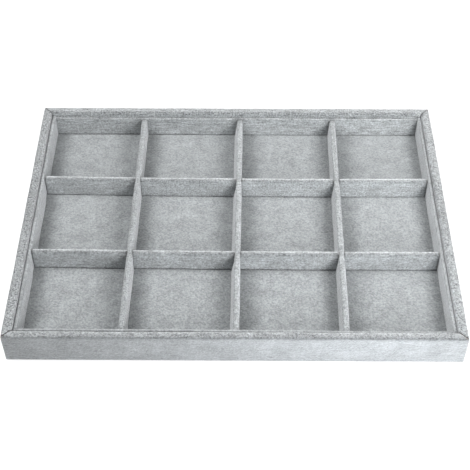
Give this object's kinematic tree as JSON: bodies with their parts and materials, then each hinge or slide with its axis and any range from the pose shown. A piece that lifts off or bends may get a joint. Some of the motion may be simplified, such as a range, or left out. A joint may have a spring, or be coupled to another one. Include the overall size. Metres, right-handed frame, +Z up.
{
  "type": "jewelry tray",
  "caption": "Shallow open jewelry tray covered in grey velvet, parted into square compartments by a lift-out grid of halved dividers.",
  "frame": {"origin": "centre of the underside, where the tray rests", "axes": "+X to the tray's right along its length, +Y from front to back, +Z up"},
  "size_m": [0.35, 0.26, 0.03],
  "materials": {
    "velvet": "short-pile light grey velvet with a brushed nap",
    "board": "raw fibreboard",
    "card": "raw grey card",
    "felt": "dark non-woven felt",
    "pin_steel": "plain steel pins"
  },
  "bodies": {
    "tray": {"base_board": "board", "base_pins": "pin_steel", "corner_pins": "pin_steel", "floor_card": "card", "floor_velvet": "velvet", "front_liner_card": "card", "front_liner_velvet": "velvet", "front_wall_board": "board", "front_wall_velvet": "velvet", "left_liner_card": "card", "left_liner_velvet": "velvet", "left_wall_board": "board", "left_wall_velvet": "velvet", "rear_liner_card": "card", "rear_liner_velvet": "velvet", "rear_wall_board": "board", "rear_wall_velvet": "velvet", "right_liner_card": "card", "right_liner_velvet": "velvet", "right_wall_board": "board", "right_wall_velvet": "velvet", "underside_felt": "felt"},
    "cross_dividers": {"front_cross_divider_core": "board", "front_cross_divider_velvet": "velvet", "rear_cross_divider_core": "board", "rear_cross_divider_velvet": "velvet"},
    "left_divider": {"left_divider_core": "board", "left_divider_velvet": "velvet"},
    "middle_divider": {"middle_divider_core": "board", "middle_divider_velvet": "velvet"},
    "right_divider": {"right_divider_core": "board", "right_divider_velvet": "velvet"}
  },
  "joints": [
    {"name": "grid_lift", "type": "slide", "parent": "tray", "child": "cross_dividers", "axis": [0, 0, 1], "range_m": [0, 0.04]},
    {"name": "left_divider_lift", "type": "slide", "parent": "cross_dividers", "child": "left_divider", "axis": [0, 0, 1], "range_m": [0, 0.03]},
    {"name": "middle_divider_lift", "type": "slide", "parent": "cross_dividers", "child": "middle_divider", "axis": [0, 0, 1], "range_m": [0, 0.03]},
    {"name": "right_divider_lift", "type": "slide", "parent": "cross_dividers", "child": "right_divider", "axis": [0, 0, 1], "range_m": [0, 0.03]}
  ]
}
